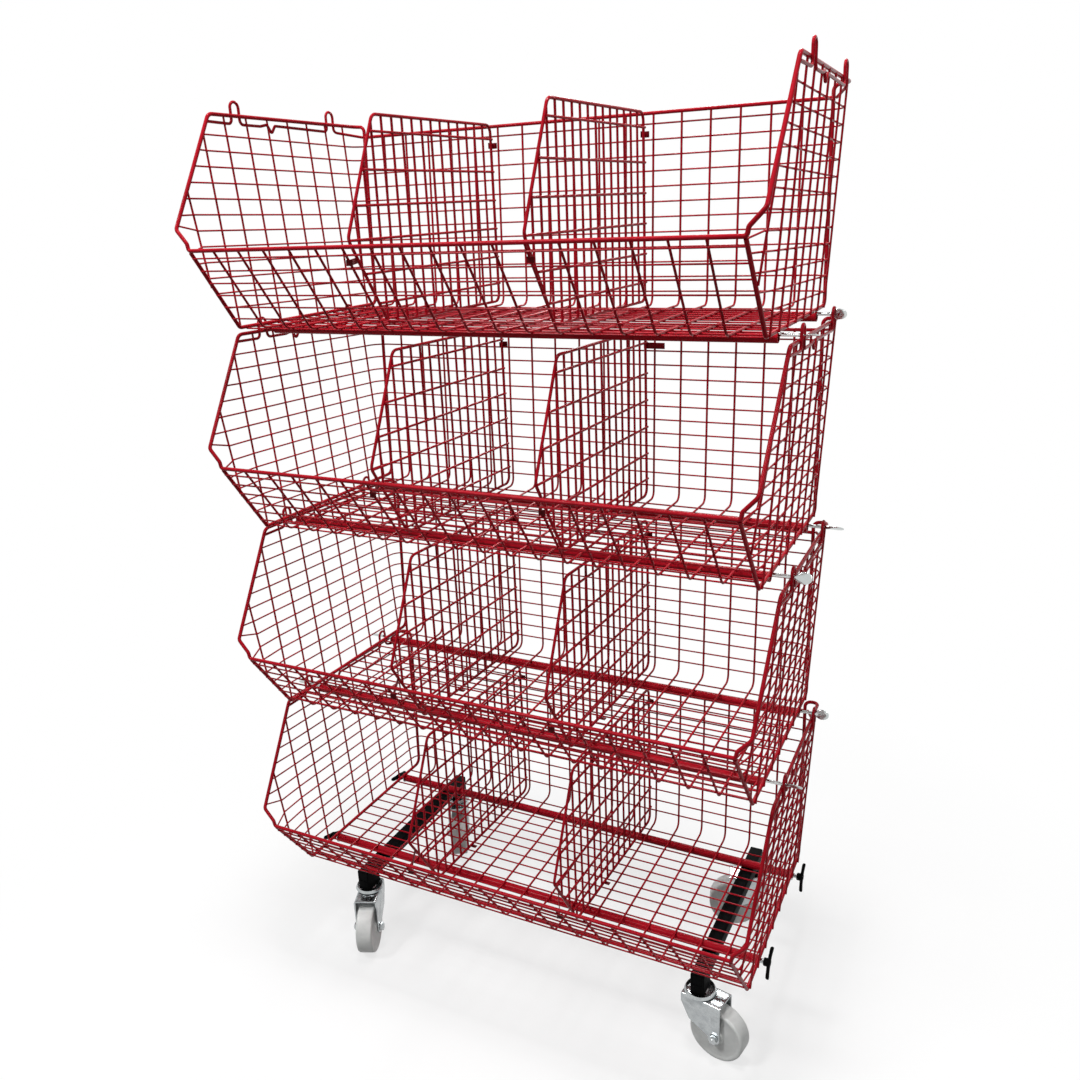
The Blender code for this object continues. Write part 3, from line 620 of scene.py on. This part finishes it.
def wrap_height(level, depth):
    """Height of a wrap wire at a depth; the wires fall a little towards the back."""
    return level + WRAP_TILT * (WRAP_LEVEL_DEPTH - depth)


def crossed(level):
    """Depths and heights at which a wrap wire crosses the uprights on its way to the back corner."""
    spots = []
    for depth in UPRIGHT_DEPTHS:
        foot, head = upright_ends(depth)
        height = wrap_height(level, depth)
        if foot.z + CROSSING_MARGIN < height < head.z - CROSSING_MARGIN:
            spots.append((depth, height))
    return spots


wrap_paths = []
for level in WRAP_LEVELS:
    low = wrap_height(level, FLOOR_BACK)
    back = back_y(low) + CROSS_DROP
    half = [(tuple(front_end(wrap_height(level, SLOPE_FOOT.y / 2))), 0.0)]
    half += [((side_x(depth, height) - WRAP_IN, depth, height), 0.0) for depth, height in crossed(level)]
    half.append(((side_x(back, low) - WRAP_IN, back, low), WRAP_CORNER))
    path = half + [(mirrored(point), bend) for point, bend in reversed(half)]
    wrap_paths.append((path, CROSS_GAUGE))
for depth in UPRIGHT_DEPTHS:
    foot, head = upright_ends(depth)
    ends = [tuple(on_rod(foot, head, AXIS_Z, foot.z - UPRIGHT_PAST)), tuple(head)]
    wrap_paths.append((straight(*ends), UPRIGHT_GAUGE))
    wrap_paths.append((straight(*[mirrored(end) for end in ends]), UPRIGHT_GAUGE))
add_to_baskets("wrap_wires", wires(wrap_paths, sides=8, steps=5), "back")

# Stacking loops: a 5 mm wire welded outside each side below the top rail, from the slanted front rod to the
# back corner. It rises in two upright loops that stand over the rail and take the locking rods, with a small
# dip between them.
LOOP_GAUGE = 0.0025
LOOP_OUT = 0.0040
LOOP_HALF = 0.0096
LOOP_RISE = 0.0225
LOOP_DROP = 0.0125
LOOP_ROWS = (0.088, 0.335)
LOOP_FOOT_BEND = 0.008
LOOP_TOP_BEND = 0.0097
LOOP_DIP_BEND = 0.003
LOOP_START_DROP = 0.0115
LOOP_END = (0.4515, 0.402, 0.315)
LOOP_DIP = [(0.146, 0.0125), (0.163, 0.0090), (0.173, 0.0230), (0.183, 0.0100)]


def loop_path():
    """Centre line of the loop wire along one side, as points with their bends."""
    run = []
    for centre in LOOP_ROWS:
        near, far = centre - LOOP_HALF, centre + LOOP_HALF
        run += [(near, -LOOP_DROP, LOOP_FOOT_BEND), (near, LOOP_RISE, LOOP_TOP_BEND),
                (far, LOOP_RISE, LOOP_TOP_BEND), (far, -LOOP_DROP, LOOP_FOOT_BEND)]
        if centre == LOOP_ROWS[0]:
            run += [(depth, -drop, LOOP_DIP_BEND) for depth, drop in LOOP_DIP]
    start = on_rod(SLOPE_FOOT, SLOPE_HEAD, AXIS_Z, SLOPE_HEAD.z - LOOP_START_DROP)
    points = [((start.x + LOOP_OUT / 3, start.y, start.z), 0.0)]
    for depth, rise, bend in run:
        rail = on_rod(SLOPE_HEAD, SIDE_BACK_HEAD, AXIS_Y, depth)
        points.append(((rail.x + LOOP_OUT, depth, rail.z + rise), bend))
    return points + [(LOOP_END, 0.0)]


loop = loop_path()
other_loop = [(mirrored(point), bend) for point, bend in loop]
add_to_baskets("stacking_loops", wires([(loop, LOOP_GAUGE), (other_loop, LOOP_GAUGE)], sides=10, steps=6))

# Weld nuggets: the small swellings that resistance welding leaves where two wires were pressed into each
# other, under the powder coat.
NUGGET_RADIUS = 0.0021


def nugget_tree():
    """Node tree that sets a small bead on every point."""
    tree = bpy.data.node_groups.new("weld_nuggets", "GeometryNodeTree")
    for name, kind in (("Points", "Geometry"), ("Radius", "Float"), ("Material", "Material")):
        tree.interface.new_socket(name, in_out="INPUT", socket_type=f"NodeSocket{kind}")
    tree.interface.new_socket("Nuggets", in_out="OUTPUT", socket_type="NodeSocketGeometry")
    nodes, links = tree.nodes, tree.links
    given = nodes.new("NodeGroupInput")
    result = nodes.new("NodeGroupOutput")
    bead = nodes.new("GeometryNodeMeshUVSphere")
    bead.inputs["Segments"].default_value = 6
    bead.inputs["Rings"].default_value = 4
    place = nodes.new("GeometryNodeInstanceOnPoints")
    realize = nodes.new("GeometryNodeRealizeInstances")
    paint = nodes.new("GeometryNodeSetMaterial")
    links.new(given.outputs["Radius"], bead.inputs["Radius"])
    links.new(given.outputs["Points"], place.inputs["Points"])
    links.new(bead.outputs["Mesh"], place.inputs["Instance"])
    links.new(place.outputs["Instances"], realize.inputs["Geometry"])
    links.new(realize.outputs["Geometry"], paint.inputs["Geometry"])
    links.new(given.outputs["Material"], paint.inputs["Material"])
    links.new(paint.outputs["Geometry"], result.inputs["Nuggets"])
    return tree


weld_nuggets = nugget_tree()


def nuggets(points):
    """Weld nuggets on a list of crossings."""
    mesh = bpy.data.meshes.new("crossings")
    mesh.from_pydata(points, [], [])
    return grown(weld_nuggets, mesh, Radius=NUGGET_RADIUS, Material=red_coat)


crossings = []
for step in range(LONG_COUNT):
    across = LONG_FIRST + LONG_PITCH * step
    crossings += [(across, depth, -CROSS_DROP / 2) for depth in FLOOR_CROSS]
    crossings += [(across, *(slant * lip_run + CROSS_DROP / 2 * lip_under)) for slant in LIP_CROSS]
    lows = [wrap_height(level, FLOOR_BACK) for level in WRAP_LEVELS]
    crossings += [(across, back_y(low) + CROSS_DROP / 2, low) for low in lows]
for level in WRAP_LEVELS:
    for depth, height in crossed(level):
        spot = (side_x(depth, height) - WRAP_IN / 2, depth, height)
        crossings += [spot, mirrored(spot)]
add_to_baskets("weld_nuggets", nuggets(crossings))

# Dividers: two mesh panels in each basket, with the slanted profile of its sides, in a bent rod outline.
# They stand on the floor wires, a little askew, because sheet tabs hook them over wires that stand apart.
DIVIDER_MIDDLES = {"left": -0.1635, "right": 0.1325}
DIVIDER_SKEW = {"left": 0.021, "right": 0.016}
DIVIDER_REACH = 0.427
DIVIDER_CENTRE = 0.1665
DIVIDER_ROD = 0.0026
DIVIDER_WIRE = 0.0021
DIVIDER_CORNER = 0.014
DIVIDER_FOOT = 0.0075
DIVIDER_OUTLINE = [Vector(p) for p in ((0.0365, DIVIDER_FOOT), (0.3774, DIVIDER_FOOT), (0.3774, 0.3155),
                                       (0.0400, 0.3185), (-0.0440, 0.140))]
DIVIDER_UPRIGHT_PITCH = 0.0263
DIVIDER_UPRIGHTS = 15
DIVIDER_LEVEL_OUT = 0.0031
DIVIDER_NUGGET_IN = Vector((0.0, 0.0, 0.0016))
DIVIDER_LEVELS = ((0.294, 0.2915), (0.239, 0.2365), (0.1875, 0.1875), (0.138, 0.138), (0.087, 0.088),
                  (0.040, 0.040))


def standing_frame(run, origin):
    """Frame at an origin with X along a level run, Y upwards and Z across."""
    rise = Vector((0.0, 0.0, 1.0))
    place = Matrix((run, rise, run.cross(rise))).transposed().to_4x4()
    place.translation = origin
    return place


def divider_place(side):
    """Frame of a divider inside its basket: X runs back along the panel, Y rises, Z is its face."""
    run = Vector((DIVIDER_SKEW[side], DIVIDER_REACH, 0.0)).normalized()
    return standing_frame(run, Vector((DIVIDER_MIDDLES[side], DIVIDER_CENTRE, 0.0)) - DIVIDER_CENTRE * run)


def outline_span(fixed, value):
    """Where a line at a fixed coordinate enters and leaves the divider's outline."""
    other = 1 - fixed
    hits = []
    for index, end in enumerate(DIVIDER_OUTLINE):
        start = DIVIDER_OUTLINE[index - 1]
        if (start[fixed] - value) * (end[fixed] - value) < 0.0:
            share = (value - start[fixed]) / (end[fixed] - start[fixed])
            hits.append(start[other] + share * (end[other] - start[other]))
    return min(hits), max(hits)


middle = (DIVIDER_OUTLINE[1] + DIVIDER_OUTLINE[2]) / 2
ring = [middle] + DIVIDER_OUTLINE[2:] + DIVIDER_OUTLINE[:2] + [middle]
bends = [0.0] + [DIVIDER_CORNER] * len(DIVIDER_OUTLINE) + [0.0]
divider_paths = [([((point.x, point.y, 0.0), bend) for point, bend in zip(ring, bends)], DIVIDER_ROD)]
divider_crossings = []
uprights = [DIVIDER_OUTLINE[1].x - DIVIDER_UPRIGHT_PITCH * (step + 1) for step in range(DIVIDER_UPRIGHTS)]
for run in uprights:
    low, high = outline_span(AXIS_X, run)
    divider_paths.append((straight((run, low, 0.0), (run, high, 0.0)), DIVIDER_WIRE))
for near_level, far_level in DIVIDER_LEVELS:
    near, far = outline_span(AXIS_Y, near_level)[0], outline_span(AXIS_Y, far_level)[1]
    ends = Vector((near, near_level, DIVIDER_LEVEL_OUT)), Vector((far, far_level, DIVIDER_LEVEL_OUT))
    divider_paths.append((straight(*ends), DIVIDER_WIRE))
    divider_crossings += [on_rod(*ends, AXIS_X, run) - DIVIDER_NUGGET_IN for run in uprights
                          if near < run < far]
divider_wires = wires(divider_paths, sides=8, steps=5)
divider_nuggets = nuggets(divider_crossings)
for tier in TIERS:
    for side in SIDES:
        place = basket_place(tier) @ divider_place(side)
        bm = bmesh.new()
        bm.from_mesh(divider_wires)
        bm.from_mesh(divider_nuggets)
        bmesh.ops.transform(bm, matrix=place, verts=bm.verts[:])
        add_piece(f"basket{tier}_{side}_divider_wires", to_mesh("divider", bm), red_coat, "frame",
                  "red_powder_coat", f"basket{tier}_{side}_divider")

# Divider tabs: small strips of sheet welded to a divider's rods and bent round a wire of the basket, one
# high on the back edge, one on the front edge under the lip, and one that lies on the floor.
# One tab of the third basket is still straight.
TAB_SHEET = 0.0015
TAB_EDGE = TAB_SHEET * 0.3
BACK_TAB = [((0.3750, 0.2760, -0.0045), (0.3890, 0.2860, -0.0030)),
            ((0.3875, 0.2760, -0.0045), (0.3890, 0.2860, 0.006))]
STRAIGHT_TAB = [((0.3790, 0.2800, -0.004), (0.3805, 0.2910, 0.036))]
STRAIGHT_TAB_ON = (3, "right")
FLOOR_TAB = [((0.1510, 0.0030, 0.0), (0.1590, 0.0045, 0.010))]
HOOK_HEIGHT = 0.108
HOOK_ON_ROD = Vector((-0.0245, HOOK_HEIGHT, -0.0032))
HOOK_ON_WIRE = {"left": -0.150, "right": 0.150}
HOOK_HALF = 0.0045
HOOK_PAST = 0.004
HOOK_LIP = 0.005
# The tabs' red is darker than the baskets' coat. This is painted shade for their upright faces, which stand
# out of the light from above.
tab_coat_painted_shade = coated("red_coat_painted_shade", [chart(96, 8, 16), chart(118, 12, 22)], 30.0, 520.0, (0.30, 0.42),
                  (0.12, 0.0003), specular=0.1)


def add_tab(bm, place, low, high):
    """Strip of sheet with softened edges."""
    part = bmesh.new()
    rounded_block(part, Vector(low), Vector(high), TAB_EDGE)
    bmesh.ops.transform(part, matrix=place, verts=part.verts[:])
    strip = bpy.data.meshes.new("strip")
    part.to_mesh(strip)
    part.free()
    bm.from_mesh(strip)
    bpy.data.meshes.remove(strip)


def hook_place(side):
    """Frame and reach of a front tab: X runs from the divider's front rod to a wire of the lip."""
    rod = divider_place(side) @ HOOK_ON_ROD
    wire = Vector((HOOK_ON_WIRE[side], LIP_TOP.x * HOOK_HEIGHT / LIP_TOP.y, HOOK_HEIGHT))
    return standing_frame((wire - rod).normalized(), rod), (wire - rod).length


for tier in TIERS:
    for side in SIDES:
        place = basket_place(tier) @ divider_place(side)
        bm = bmesh.new()
        back_tab = STRAIGHT_TAB if (tier, side) == STRAIGHT_TAB_ON else BACK_TAB
        for low, high in back_tab + FLOOR_TAB:
            add_tab(bm, place, low, high)
        hook, reach = hook_place(side)
        hook = basket_place(tier) @ hook
        tip, half_sheet = reach + HOOK_PAST, TAB_SHEET / 2
        add_tab(bm, hook, (-HOOK_PAST, -HOOK_HALF, -half_sheet), (tip, HOOK_HALF, half_sheet))
        add_tab(bm, hook, (tip - TAB_SHEET, -HOOK_HALF, -HOOK_LIP), (tip, HOOK_HALF, HOOK_LIP))
        add_piece(f"basket{tier}_{side}_divider_tabs", to_mesh("tabs", bm), tab_coat_painted_shade, "frame",
                  "red_powder_coat")

# Locking rods: six bright chromed rods, pointed at one end and flattened into a paddle for the fingers
# at the other. Each slides through the loops of one basket and the cross tube of the basket above it.
ROD_RADIUS = 0.0028
ROD_STEPS = 20
ROD_STATIONS = [
    (-0.5050, 0.0006, 0.0006), (-0.5040, 0.0014, 0.0014), (-0.5005, 0.0024, 0.0024),
    (-0.4985, ROD_RADIUS, ROD_RADIUS), (0.4790, ROD_RADIUS, ROD_RADIUS), (0.4815, 0.0042, 0.0025),
    (0.4845, 0.0068, 0.0018), (0.4885, 0.0088, 0.0015), (0.4925, 0.0094, 0.0015), (0.4965, 0.0091, 0.0015),
    (0.5005, 0.0077, 0.0014), (0.5035, 0.0053, 0.0012), (0.5050, 0.0025, 0.0009),
]
PADDLE_SHIFT = {("front", 1): 0.0060, ("back", 1): -0.0030, ("front", 2): 0.0060, ("back", 2): 0.0050,
                ("front", 3): 0.0, ("back", 3): -0.0090}
PADDLE_DEGREES = {("front", 1): 42.0, ("back", 1): -10.0, ("front", 2): -20.0, ("back", 2): 56.0,
                  ("front", 3): 80.0, ("back", 3): 20.0}
chrome = coated("bright_chrome", [chart(184, 189, 188), chart(206, 210, 209)], 25.0, 300.0,
                (0.10, 0.20), (0.03, 0.0002), metallic=1.0)


def lofted(bm, rings):
    """Closed skin through rings of the same number of points."""
    for below, above in zip(rings, rings[1:]):
        for step in range(len(below)):
            bm.faces.new((below[step - 1], below[step], above[step], above[step - 1]))
    bm.faces.new(rings[0])
    bm.faces.new(rings[-1])


for (row, tier), degrees in PADDLE_DEGREES.items():
    low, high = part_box(f"locking_rod{tier}_{row}")
    bm = bmesh.new()
    roll = Matrix.Rotation(math.radians(degrees), 4, "X")
    place = Matrix.Translation((0.0, (low.y + high.y) / 2, (low.z + high.z) / 2)) @ roll
    rings = []
    for along, wide, thick in ROD_STATIONS:
        along += PADDLE_SHIFT[row, tier] if along > 0.0 else 0.0
        angles = [2 * math.pi * step / ROD_STEPS for step in range(ROD_STEPS)]
        rings.append([bm.verts.new(place @ Vector((along, thick * math.cos(a), wide * math.sin(a))))
                      for a in angles])
    lofted(bm, rings)
    add_piece(f"locking_rod{tier}_{row}_chromed", to_mesh("rod", bm), chrome, f"rod{tier}_{row}",
              "bright_chrome", f"locking_rod{tier}_{row}")

# Wing knobs: black moulded knobs with two wings and a steel stud, screwed into the tube ends of the lowest
# basket. Each clamps a plated washer against the tube's end, which stays with the basket.
KNOB_DEGREES = {("front", "left"): 70.0, ("front", "right"): -37.0,
                ("back", "left"): 80.0, ("back", "right"): -25.0}
HUB_START = 0.4590
HUB_END = 0.4715
KNOB_HUB = [(0.0, HUB_START), (0.0062, HUB_START), (0.0070, HUB_START + 0.0010), (0.0072, 0.4660),
            (0.0068, 0.4695), (0.0054, 0.4710), (0.0, HUB_END)]
STUD_START = 0.4210
STUD_END = HUB_START + 0.001
STUD = [(0.0, STUD_START), (0.0035, STUD_START), (0.0040, 0.4216), (0.0040, STUD_END), (0.0, STUD_END)]
WING_STATIONS = [
    (0.0040, 0.0062, 0.4652, 0.4708), (0.0095, 0.0053, 0.4655, 0.4710), (0.0150, 0.0046, 0.4658, 0.4714),
    (0.0205, 0.0044, 0.4660, 0.4720), (0.0245, 0.0038, 0.4663, 0.4724), (0.0264, 0.0026, 0.4672, 0.4722),
    (0.0272, 0.0010, 0.4685, 0.4712),
]
TUBE_WASHER = [(0.0042, 0.4497), (0.0096, 0.4497), (0.0100, 0.4501), (0.0100, 0.4508), (0.0096, 0.4512),
               (0.0042, 0.4512)]
WING_STEPS = 16
WING_SQUARENESS = 0.6
HUB_STEPS = 32
STUD_STEPS = 20
WASHER_STEPS = 28
black_plastic = coated("black_moulded_plastic", [chart(4, 4, 5), chart(10, 10, 11)], 40.0, 1500.0,
                       (0.52, 0.64), (0.12, 0.0002), specular=0.03)


def knob_wing(bm, place, sense):
    """One wing of a knob, lofted through rounded sections from the hub to its tip."""
    rings = []
    for reach, half, near, far in WING_STATIONS:
        ring = []
        for step in range(WING_STEPS):
            angle = 2 * math.pi * step / WING_STEPS
            thick, wide = [math.copysign(abs(value) ** WING_SQUARENESS, value)
                           for value in (math.cos(angle), math.sin(angle))]
            along = (near + far) / 2 + (far - near) / 2 * thick
            ring.append(bm.verts.new(place @ Vector((along, half * wide, sense * reach))))
        rings.append(ring)
    lofted(bm, rings)


for (row, side), degrees in KNOB_DEGREES.items():
    depth = TUBE_ROWS[ROWS.index(row)]
    centre = basket_place(1) @ Matrix.Translation((0.0, depth, TUBE_DROP))
    facing = Matrix.Identity(4) if side == "right" else Matrix.Rotation(math.pi, 4, "Z")
    roll = Matrix.Rotation(math.radians(degrees), 4, "X")
    axis = centre @ facing @ lengthwise
    bm = bmesh.new()
    turned(bm, KNOB_HUB, HUB_STEPS, axis)
    for sense in (-1.0, 1.0):
        knob_wing(bm, centre @ roll @ facing, sense)
    add_piece(f"wing_knob_{row}_{side}_moulded", to_mesh("knob", bm), black_plastic, f"knob_{row}_{side}",
              "black_plastic", f"wing_knob_{row}_{side}")
    bm = bmesh.new()
    turned(bm, STUD, STUD_STEPS, axis)
    add_piece(f"wing_knob_{row}_{side}_stud", to_mesh("stud", bm), zinc_plate, f"knob_{row}_{side}",
              "zinc_plate")
    bm = bmesh.new()
    turned(bm, TUBE_WASHER, WASHER_STEPS, axis, closed=True)
    add_piece(f"wing_knob_{row}_{side}_washer", to_mesh("washer", bm), zinc_plate, "frame", "zinc_plate")

# Studio: a pale floor that keeps the unit's soft shadow and fades to white, soft lamps above and on three
# sides, and a white surround that the chrome and zinc reflect.
FLOOR_HALF = 14.0
LAMP_SIZE = 0.8
LAMP_AIM = Vector((0.0, 0.0, 0.8))
LAMPS = {"top_lamp": ((0.2, -0.2, 6.0), 245.0), "front_lamp": ((-2.0, -2.7, 4.6), 128.0),
         "right_lamp": ((2.8, -1.8, 3.6), 40.0), "back_lamp": ((-0.6, 3.2, 3.3), 45.0)}


def background_rays(nodes, links):
    """Socket that is 1 for rays from the camera, from mirrors and through glass, and 0 for the rest."""
    seen = nodes.new("ShaderNodeLightPath")
    shown = seen.outputs["Is Camera Ray"]
    for ray in ("Is Glossy Ray", "Is Transmission Ray"):
        either = nodes.new("ShaderNodeMath")
        either.operation = "MAXIMUM"
        links.new(shown, either.inputs[0])
        links.new(seen.outputs[ray], either.inputs[1])
        shown = either.outputs["Value"]
    return shown


def studio_floor():
    """Pale floor, white for the camera away from the unit."""
    material = bpy.data.materials.new("studio_floor")
    material.use_nodes = True
    nodes, links = material.node_tree.nodes, material.node_tree.links
    shader = nodes["Principled BSDF"]
    shader.inputs["Roughness"].default_value = 0.8
    shader.inputs["Specular IOR Level"].default_value = 0.1
    white = nodes.new("ShaderNodeEmission")
    where = nodes.new("ShaderNodeTexCoord")
    distance = nodes.new("ShaderNodeVectorMath")
    distance.operation = "LENGTH"
    fade = nodes.new("ShaderNodeMapRange")
    fade.inputs["From Min"].default_value = 0.5
    fade.inputs["From Max"].default_value = 1.3
    fade.inputs["To Min"].default_value = 0.72
    shown = background_rays(nodes, links)
    pale = nodes.new("ShaderNodeMapRange")
    pale.inputs["To Min"].default_value = 0.20
    pale.inputs["To Max"].default_value = 0.80
    share = nodes.new("ShaderNodeMath")
    share.operation = "MULTIPLY"
    mix = nodes.new("ShaderNodeMixShader")
    links.new(where.outputs["Object"], distance.inputs[0])
    links.new(distance.outputs["Value"], fade.inputs["Value"])
    links.new(fade.outputs["Result"], share.inputs[0])
    links.new(shown, share.inputs[1])
    links.new(shown, pale.inputs["Value"])
    links.new(pale.outputs["Result"], shader.inputs["Base Color"])
    links.new(share.outputs["Value"], mix.inputs["Fac"])
    links.new(shader.outputs["BSDF"], mix.inputs[1])
    links.new(white.outputs["Emission"], mix.inputs[2])
    links.new(mix.outputs["Shader"], nodes["Material Output"].inputs["Surface"])
    return material


bm = bmesh.new()
bmesh.ops.create_grid(bm, x_segments=1, y_segments=1, size=FLOOR_HALF)
floor_mesh = to_mesh("floor", bm)
floor_mesh.materials.append(studio_floor())
floor = bpy.data.objects.new("studio_floor", floor_mesh)
bpy.context.scene.collection.objects.link(floor)

world = bpy.data.worlds.new("studio")
bpy.context.scene.world = world
world.use_nodes = True
nodes, links = world.node_tree.nodes, world.node_tree.links
level = nodes.new("ShaderNodeMapRange")
level.inputs["To Min"].default_value = 0.055
links.new(background_rays(nodes, links), level.inputs["Value"])
nodes["Background"].inputs["Color"].default_value = (1.0, 1.0, 1.0, 1.0)
links.new(level.outputs["Result"], nodes["Background"].inputs["Strength"])

for name, (place, power) in LAMPS.items():
    lamp = bpy.data.lights.new(name, "AREA")
    lamp.size = LAMP_SIZE
    lamp.energy = power
    holder = bpy.data.objects.new(name, lamp)
    holder.location = place
    holder.rotation_euler = (LAMP_AIM - Vector(place)).to_track_quat("-Z", "Y").to_euler()
    bpy.context.scene.collection.objects.link(holder)

# Camera: set where the photograph was taken from, level with the top basket and to the right, looking down,
# with the slight lean of the picture.
CAMERA_PLACE = (0.7876, front_edge - 1.3160, 1.4319)
CAMERA_TURN = 0.4782
CAMERA_DIP = 0.3259
CAMERA_LEAN = -0.0459
SENSOR_WIDTH = 36.0
LENS_LENGTH = 33.247
lens = bpy.data.cameras.new("camera")
lens.sensor_width = SENSOR_WIDTH
lens.lens = LENS_LENGTH
lens.clip_end = 60.0
camera = bpy.data.objects.new("camera", lens)
camera.matrix_world = (Matrix.Translation(CAMERA_PLACE) @ Matrix.Rotation(CAMERA_TURN, 4, "Z")
                       @ Matrix.Rotation(math.pi / 2 - CAMERA_DIP, 4, "X")
                       @ Matrix.Rotation(CAMERA_LEAN, 4, "Z"))
bpy.context.scene.collection.objects.link(camera)
bpy.context.scene.camera = camera
bpy.context.scene.view_settings.view_transform = "Standard"
